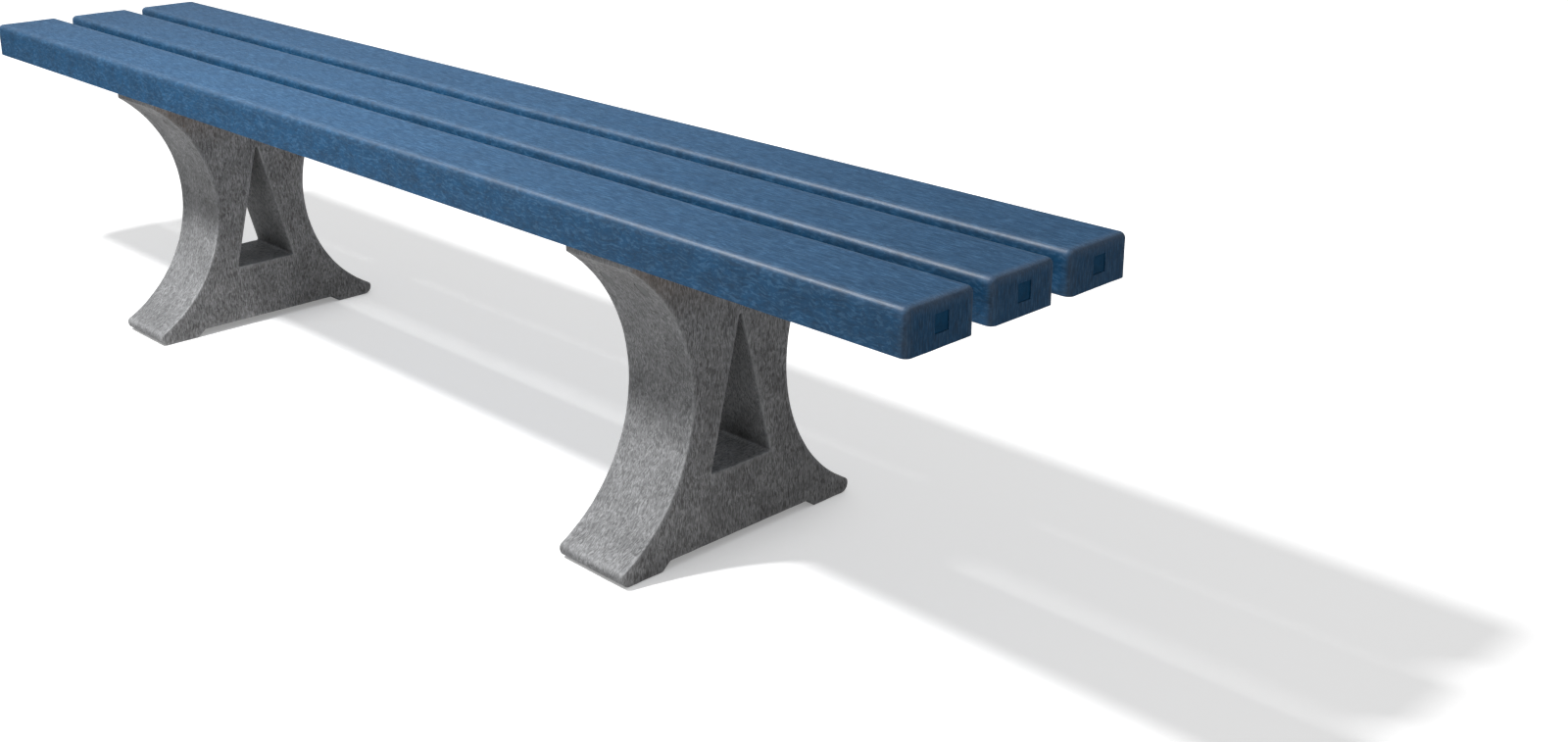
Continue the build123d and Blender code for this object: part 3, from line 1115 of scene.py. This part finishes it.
def floor_material(settings):
    """Pale matt floor, pure white away from the bench and clear when seen from below."""
    material, tree, shader = start_material("pale_floor")
    spot = object_place(tree)
    flat = vector_maths(tree, "MULTIPLY", spot, (0.5, 1.0, 0.0))
    away = put(tree, "VectorMath", {0: flat}, operation="LENGTH").outputs["Value"]
    shade = level(tree, cloud(tree, spot, 60.0, detail=3.0), 0.2, 0.8, 0.795, 0.805)
    seen = put(tree, "LightPath").outputs["Is Camera Ray"]
    thrown = mix_value(tree, seen, settings.floor_bounce, shade)
    white_at = settings.white_from + 0.6
    glow = level(tree, away, settings.white_from, white_at, settings.floor_glow, 1.0)
    open_air = put(tree, "AmbientOcclusion", {"Distance": settings.contact}, samples=8)
    clear = level(tree, open_air.outputs["AO"], 0.0, 1.0, 0.35, 1.0)
    below = put(tree, "NewGeometry").outputs["Backfacing"]
    feed(tree, shader, {
        "Base Color": put(tree, "CombineXYZ", {0: thrown, 1: thrown, 2: thrown}).outputs[0],
        "Roughness": 0.9,
        "Specular IOR Level": 0.0,
        "Emission Color": (1, 1, 1, 1),
        "Emission Strength": times(tree, times(tree, glow, clear), seen),
        "Alpha": maths(tree, "SUBTRACT", 1.0, below),
    })
    return material


def make_floor(settings):
    """A wide flat floor, flush with the ground under the bench."""
    bm = bmesh.new()
    bmesh.ops.create_grid(bm, x_segments=24, y_segments=24, size=20.0)
    mesh = bpy.data.meshes.new("floor")
    bm.to_mesh(mesh)
    bm.free()
    mesh.materials.append(floor_material(settings))
    floor = show(bpy.data.objects.new("floor", mesh))
    floor.location.z = CAD_BOX[0].z - 0.0002


def make_fill(settings):
    """White light from all round, brighter low behind the far end, shown as plain white."""
    world = bpy.data.worlds.new("fill")
    world.use_nodes = True
    tree = world.node_tree
    tree.nodes.clear()
    seen = put(tree, "LightPath").outputs["Is Camera Ray"]
    way = put(tree, "TexCoord").outputs["Generated"]
    towards = put(tree, "VectorMath", {0: way, 1: HORIZON_WAY}, operation="DOT_PRODUCT")
    brightest = settings.fill + settings.horizon
    even = level(tree, towards.outputs["Value"], 0.80, 1.0, settings.fill, brightest)
    strength = mix_value(tree, seen, even, 1.0)
    sky = put(tree, "Background", {"Color": (1, 1, 1, 1), "Strength": strength})
    put(tree, "OutputWorld", {"Surface": sky.outputs[0]})
    bpy.context.scene.world = world


def hang(data, way, place=(0, 0, 0)):
    """Hangs a light at a place and turns it to shine along a way."""
    lamp = show(bpy.data.objects.new(data.name, data))
    lamp.location = place
    lamp.rotation_mode = "QUATERNION"
    lamp.rotation_quaternion = way.to_track_quat("-Z", "Y")


def make_lamp(settings):
    """One soft disc above the front left of the bench, aimed at the middle of the seat."""
    data = bpy.data.lights.new("lamp", "AREA")
    data.shape = "DISK"
    data.size = settings.lamp_size
    data.energy = settings.lamp_power
    hang(data, Vector((0.2, 0.0, 0.2)) - settings.lamp_place, settings.lamp_place)


def make_side_fill(settings):
    """A weak shadowless light that lifts the bench's right-hand faces."""
    data = bpy.data.lights.new("side_fill", "SUN")
    data.energy = settings.side_fill
    data.angle = math.radians(20)
    data.use_shadow = False
    hang(data, Vector((-1.0, 0.1, -1.0)))


def make_camera(settings):
    """The camera at the front right, a little above the seat."""
    data = bpy.data.cameras.new("camera")
    data.lens = settings.lens
    data.sensor_width = 36.0
    data.shift_y = settings.rise
    data.clip_start = 0.01
    data.clip_end = 100.0
    camera = show(bpy.data.objects.new("camera", data))
    turn = Matrix.Rotation(settings.heading, 4, "Z")
    tilt = Matrix.Rotation(math.pi / 2 - settings.dip, 4, "X")
    lean = Matrix.Rotation(settings.roll, 4, "Z")
    camera.matrix_world = Matrix.Translation(settings.camera_place) @ turn @ tilt @ lean
    bpy.context.scene.camera = camera


class BENCH_OT_studio(bpy.types.Operator):
    """Set up the camera, the lamp, the fill and the floor"""

    bl_idname = "bench.studio"
    bl_label = "Set Up Studio"

    def execute(self, context):
        settings = context.scene.bench_studio
        make_camera(settings)
        make_lamp(settings)
        make_side_fill(settings)
        make_fill(settings)
        make_floor(settings)
        context.scene.view_settings.view_transform = "Standard"
        return {"FINISHED"}


# ---- add-on --------------------------------------------------------------------------
SETTINGS = {"bench_planks": PlankSettings, "bench_legs": LegSettings, "bench_studio": StudioSettings}
BUILD_ORDER = ("studio", "planks", "plugs", "legs", "caps", "steel")


class BENCH_PT_workshop(bpy.types.Panel):
    """Every step of the bench, in building order"""

    bl_idname = "BENCH_PT_workshop"
    bl_label = "Park Bench"
    bl_space_type = "VIEW_3D"
    bl_region_type = "UI"
    bl_category = "Bench"

    def draw(self, context):
        for step in BUILD_ORDER:
            self.layout.operator(f"bench.{step}")
        for settings in SETTINGS:
            group = getattr(context.scene, settings)
            box = self.layout.box()
            for name in group.__annotations__:
                box.prop(group, name)


CLASSES = (
    *SETTINGS.values(),
    BENCH_OT_studio,
    BENCH_OT_planks,
    BENCH_OT_plugs,
    BENCH_OT_legs,
    BENCH_OT_caps,
    BENCH_OT_steel,
    BENCH_PT_workshop,
)


def register():
    for item in CLASSES:
        bpy.utils.register_class(item)
    for name, kind in SETTINGS.items():
        setattr(bpy.types.Scene, name, bpy.props.PointerProperty(type=kind))


def unregister():
    for name in SETTINGS:
        delattr(bpy.types.Scene, name)
    for item in reversed(CLASSES):
        bpy.utils.unregister_class(item)


def main():
    register()
    for step in BUILD_ORDER:
        getattr(bpy.ops.bench, step)()


if __name__ == "__main__":
    main()
